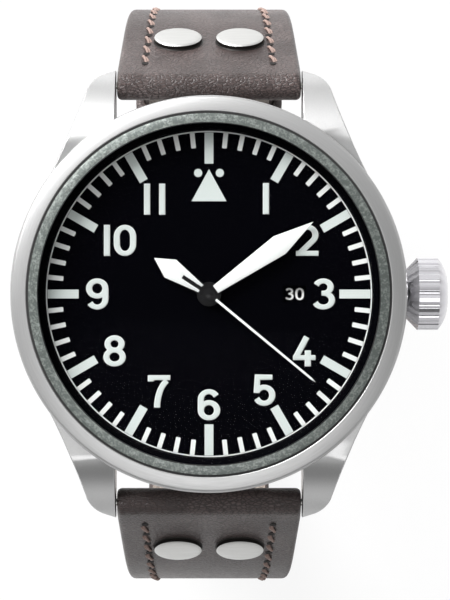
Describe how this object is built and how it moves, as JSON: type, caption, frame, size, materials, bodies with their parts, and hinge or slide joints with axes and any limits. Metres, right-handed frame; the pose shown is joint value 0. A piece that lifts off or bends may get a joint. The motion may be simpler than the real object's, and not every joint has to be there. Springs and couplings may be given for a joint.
{
  "type": "pilot wristwatch",
  "caption": "Round steel pilot wristwatch with a black dial, plain white numbers, broad sword hands, a fluted crown and a riveted leather strap with a tang buckle.",
  "frame": {"origin": "middle of the case back's flat outer face, the face that lies on the wrist", "axes": "+Z out of the dial, +Y towards twelve o'clock, +X towards the crown at three o'clock"},
  "size_m": [0.0465, 0.0658, 0.0911],
  "materials": {
    "satin_steel": "fine satin, brushed round the dial axis",
    "polished_steel": "polished",
    "crystal_glass": "clear, anti-reflective",
    "rubber_seal": "matt",
    "black_paint": "matt black",
    "lume": "luminous white print",
    "plated_brass": "rhodium-plated, grained",
    "gilt_brass": "gilt wheels",
    "blued_steel": "blued screws",
    "hardened_steel": "hardened, polished",
    "ruby": "synthetic ruby",
    "white_print": "black disc with white numbers",
    "leather": "dark brown, smooth, fine grain"
  },
  "bodies": {
    "case": {"case_middle": "satin_steel", "bezel": "satin_steel", "crystal": "crystal_glass", "crystal_gasket": "rubber_seal", "flange_ring": "black_paint", "polished_ring": "polished_steel", "dial": "black_paint", "hour_markers": "lume", "case_back_ring": "satin_steel", "case_back_glass": "crystal_glass", "case_back_gasket": "rubber_seal", "movement_ring": "satin_steel", "main_plate": "plated_brass", "train_bridge": "plated_brass", "barrel_bridge": "plated_brass", "balance_cock": "plated_brass", "pallet_bridge": "plated_brass", "automatic_bridge": "plated_brass", "rotor_bearing": "hardened_steel", "bridge_screws": "blued_steel", "jewels": "ruby", "crown_tube": "polished_steel", "upper_spring_bar": "hardened_steel", "lower_spring_bar": "hardened_steel"},
    "seconds": {"seconds_wheel": "gilt_brass", "seconds_hand": "lume"},
    "minutes": {"centre_wheel": "gilt_brass", "cannon_pinion": "hardened_steel", "minute_hand": "lume"},
    "hours": {"hour_wheel": "gilt_brass", "hour_hand": "lume"},
    "third": {"third_wheel": "gilt_brass"},
    "motion": {"minute_wheel": "gilt_brass"},
    "barrel": {"barrel": "gilt_brass", "mainspring": "hardened_steel"},
    "ratchet": {"barrel_arbor": "hardened_steel", "ratchet_wheel": "hardened_steel"},
    "crown_wheel": {"crown_wheel": "hardened_steel"},
    "winding_pinion": {"winding_pinion": "hardened_steel"},
    "escape": {"escape_wheel": "hardened_steel"},
    "fork": {"pallet_fork": "hardened_steel"},
    "balance": {"balance_wheel": "gilt_brass", "hairspring": "hardened_steel"},
    "date": {"date_disc": "white_print"},
    "rotor": {"rotor": "plated_brass"},
    "crown_slide": {"crown_gasket": "rubber_seal"},
    "crown": {"crown": "polished_steel", "winding_stem": "hardened_steel"},
    "upper_strap": {"upper_strap": "leather", "upper_rivets": "polished_steel", "fixed_keeper": "leather"},
    "loose_keeper": {"loose_keeper": "leather"},
    "buckle": {"buckle_frame": "polished_steel", "buckle_bar": "hardened_steel"},
    "tang": {"buckle_tang": "polished_steel"},
    "lower_strap": {"lower_strap": "leather", "lower_rivets": "polished_steel"}
  },
  "joints": [
    {"name": "seconds_turn", "type": "hinge", "parent": "case", "child": "seconds", "pos_m": [0, 0, 0.00373], "axis": [0, 0, -1], "continuous": true},
    {"name": "minutes_turn", "type": "hinge", "parent": "case", "child": "minutes", "pos_m": [0, 0, 0.00423], "axis": [0, 0, -1], "continuous": true},
    {"name": "hours_turn", "type": "hinge", "parent": "case", "child": "hours", "pos_m": [0, 0, 0.00675], "axis": [0, 0, -1], "continuous": true},
    {"name": "third_turn", "type": "hinge", "parent": "case", "child": "third", "pos_m": [0.00116, -0.00435, 0.00398], "axis": [0, 0, -1], "continuous": true},
    {"name": "motion_turn", "type": "hinge", "parent": "case", "child": "motion", "pos_m": [-0.00042, 0.00236, 0.0061], "axis": [0, 0, -1], "continuous": true},
    {"name": "barrel_turn", "type": "hinge", "parent": "case", "child": "barrel", "pos_m": [0.0027, 0.00468, 0.00473], "axis": [0, 0, -1], "continuous": true},
    {"name": "escape_turn", "type": "hinge", "parent": "case", "child": "escape", "pos_m": [-0.00381, 0.00066, 0.00448], "axis": [0, 0, -1], "continuous": true},
    {"name": "fork_swing", "type": "hinge", "parent": "case", "child": "fork", "pos_m": [-0.00531, -0.00094, 0.00448], "axis": [0, 0, 1], "range_deg": [-5, 5]},
    {"name": "balance_swing", "type": "hinge", "parent": "case", "child": "balance", "pos_m": [-0.00736, -0.00313, 0.00398], "axis": [0, 0, 1], "range_deg": [-150, 150], "stiffness_Nm_per_rad": 0.00000015},
    {"name": "date_turn", "type": "hinge", "parent": "case", "child": "date", "pos_m": [0, 0, 0.0061], "axis": [0, 0, 1], "continuous": true},
    {"name": "rotor_turn", "type": "hinge", "parent": "case", "child": "rotor", "pos_m": [0, 0, 0.00175], "axis": [0, 0, 1], "continuous": true},
    {"name": "crown_pull", "type": "slide", "parent": "case", "child": "crown_slide", "axis": [1, 0, 0], "range_m": [0, 0.0012]},
    {"name": "crown_turn", "type": "hinge", "parent": "crown_slide", "child": "crown", "pos_m": [0.02097, 0, 0.0052], "axis": [1, 0, 0], "continuous": true},
    {"name": "winding_pinion_turn", "type": "hinge", "parent": "case", "child": "winding_pinion", "pos_m": [0.00804, 0, 0.0052], "axis": [1, 0, 0], "continuous": true},
    {"name": "crown_wheel_turn", "type": "hinge", "parent": "case", "child": "crown_wheel", "pos_m": [0.00804, 0, 0.0028], "axis": [0, 0, 1], "continuous": true},
    {"name": "ratchet_turn", "type": "hinge", "parent": "case", "child": "ratchet", "pos_m": [0.0027, 0.00468, 0.0028], "axis": [0, 0, 1], "continuous": true},
    {"name": "upper_strap_swing", "type": "hinge", "parent": "case", "child": "upper_strap", "pos_m": [0, 0.0224, 0.0032], "axis": [1, 0, 0], "range_deg": [-2, 72]},
    {"name": "lower_strap_swing", "type": "hinge", "parent": "case", "child": "lower_strap", "pos_m": [0, -0.0224, 0.0032], "axis": [-1, 0, 0], "range_deg": [-2, 72]},
    {"name": "buckle_swing", "type": "hinge", "parent": "upper_strap", "child": "buckle", "pos_m": [0, 0.01815, -0.0682], "axis": [1, 0, 0], "range_deg": [-15, 40]},
    {"name": "tang_swing", "type": "hinge", "parent": "buckle", "child": "tang", "pos_m": [0, 0.01815, -0.0682], "axis": [1, 0, 0], "range_deg": [0, 80]},
    {"name": "loose_keeper_slide", "type": "slide", "parent": "upper_strap", "child": "loose_keeper", "axis": [0, 0.342, 0.9397], "range_m": [0, 0.006]}
  ],
  "couplings": [
    {"joint": "minutes_turn", "follows": "seconds_turn", "ratio": 0.016667},
    {"joint": "hours_turn", "follows": "seconds_turn", "ratio": 0.0013889},
    {"joint": "third_turn", "follows": "seconds_turn", "ratio": -0.125},
    {"joint": "motion_turn", "follows": "seconds_turn", "ratio": -0.0055556},
    {"joint": "barrel_turn", "follows": "seconds_turn", "ratio": -0.0020833},
    {"joint": "escape_turn", "follows": "seconds_turn", "ratio": -12},
    {"joint": "winding_pinion_turn", "follows": "crown_turn", "ratio": 1},
    {"joint": "crown_wheel_turn", "follows": "crown_turn", "ratio": -0.44828},
    {"joint": "ratchet_turn", "follows": "crown_turn", "ratio": 0.30952}
  ]
}
